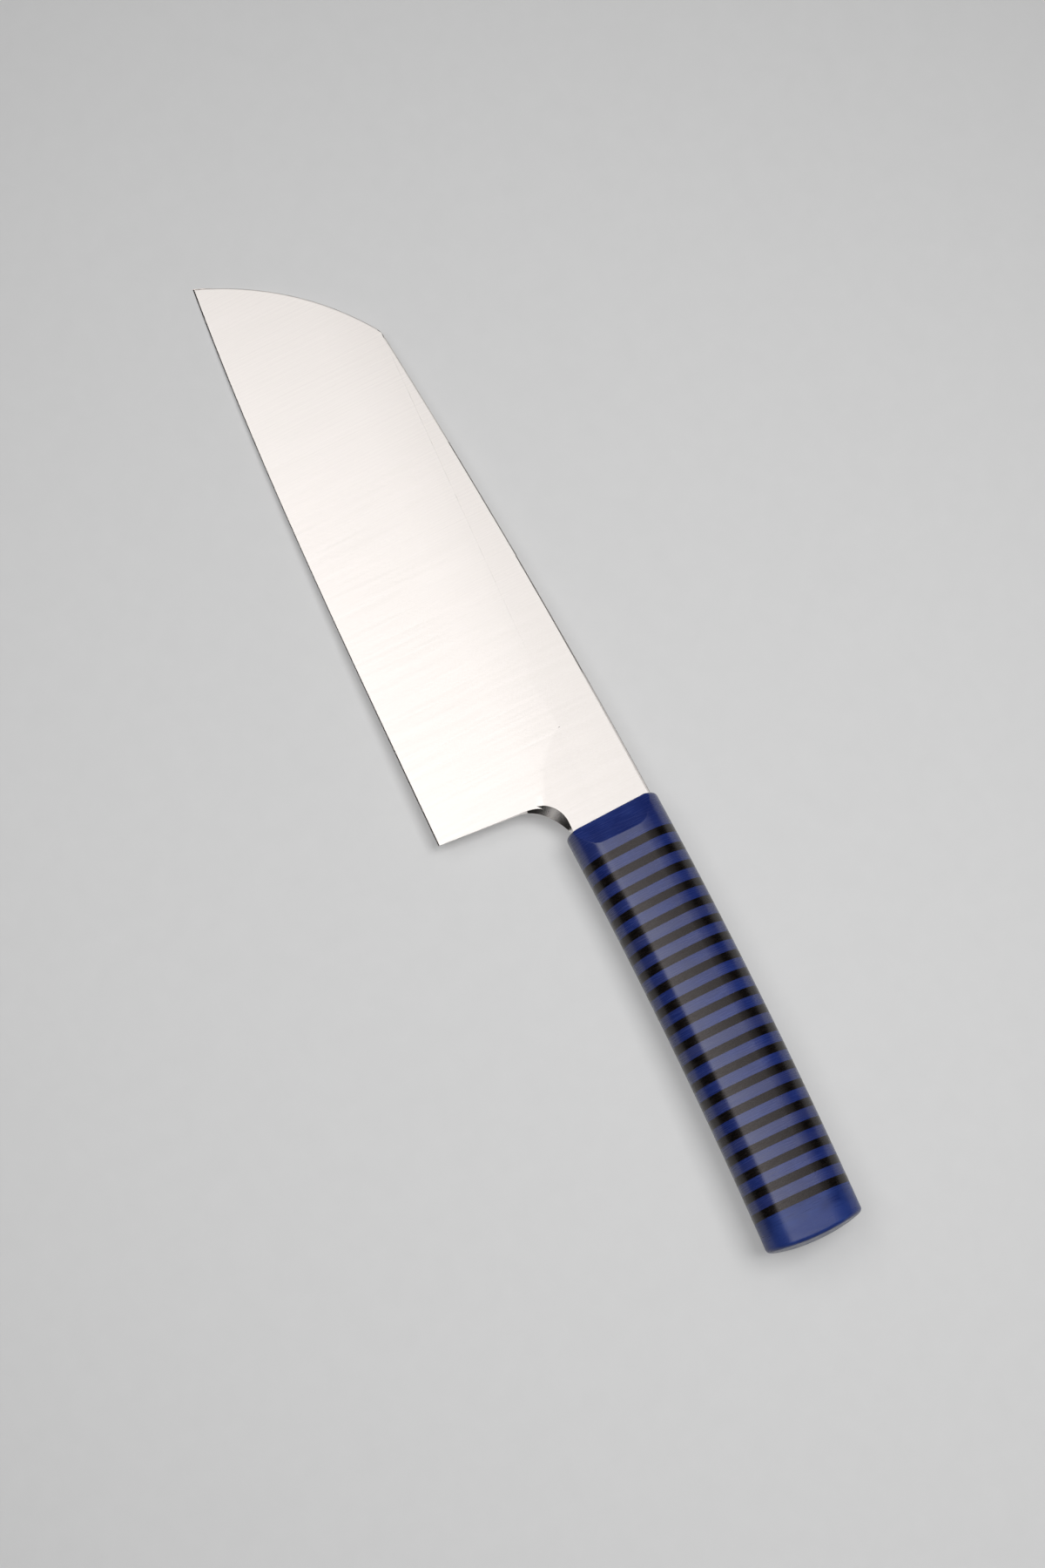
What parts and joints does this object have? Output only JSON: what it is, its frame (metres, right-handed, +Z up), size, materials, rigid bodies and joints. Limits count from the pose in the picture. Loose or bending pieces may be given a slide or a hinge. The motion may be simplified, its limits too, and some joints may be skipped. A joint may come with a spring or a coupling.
{
  "type": "chopper knife",
  "caption": "Kitchen chopper knife with a tall ground steel blade, a choil notch at the heel and a hidden-tang handle of stacked blue and black rings.",
  "frame": {"origin": "middle of the underside of the knife's box, with the knife lying flat on the side of its handle", "axes": "+X from the butt to the blade's tip, +Y from the spine to the cutting edge, +Z up through the thickness"},
  "size_m": [0.3028, 0.058, 0.017],
  "materials": {
    "blade_steel": "satin, with fine grinding lines across the blade",
    "blue_resin": "satin, with fine sanding lines round the handle",
    "black_fibre": "matte sanded fibre",
    "plated_steel": "plain zinc plate"
  },
  "bodies": {
    "root": {"blade": "blade_steel", "front_ferrule": "blue_resin", "black_ring_01": "black_fibre", "black_ring_02": "black_fibre", "black_ring_03": "black_fibre", "black_ring_04": "black_fibre", "black_ring_05": "black_fibre", "black_ring_06": "black_fibre", "black_ring_07": "black_fibre", "black_ring_08": "black_fibre", "black_ring_09": "black_fibre", "black_ring_10": "black_fibre", "black_ring_11": "black_fibre", "black_ring_12": "black_fibre", "black_ring_13": "black_fibre", "black_ring_14": "black_fibre", "black_ring_15": "black_fibre", "black_ring_16": "black_fibre", "black_ring_17": "black_fibre", "black_ring_18": "black_fibre", "black_ring_19": "black_fibre", "black_ring_20": "black_fibre", "blue_ring_01": "blue_resin", "blue_ring_02": "blue_resin", "blue_ring_03": "blue_resin", "blue_ring_04": "blue_resin", "blue_ring_05": "blue_resin", "blue_ring_06": "blue_resin", "blue_ring_07": "blue_resin", "blue_ring_08": "blue_resin", "blue_ring_09": "blue_resin", "blue_ring_10": "blue_resin", "blue_ring_11": "blue_resin", "blue_ring_12": "blue_resin", "blue_ring_13": "blue_resin", "blue_ring_14": "blue_resin", "blue_ring_15": "blue_resin", "blue_ring_16": "blue_resin", "blue_ring_17": "blue_resin", "blue_ring_18": "blue_resin", "blue_ring_19": "blue_resin", "butt_cap": "blue_resin", "stack_washer": "plated_steel", "tang_nut": "plated_steel"}
  },
  "joints": []
}
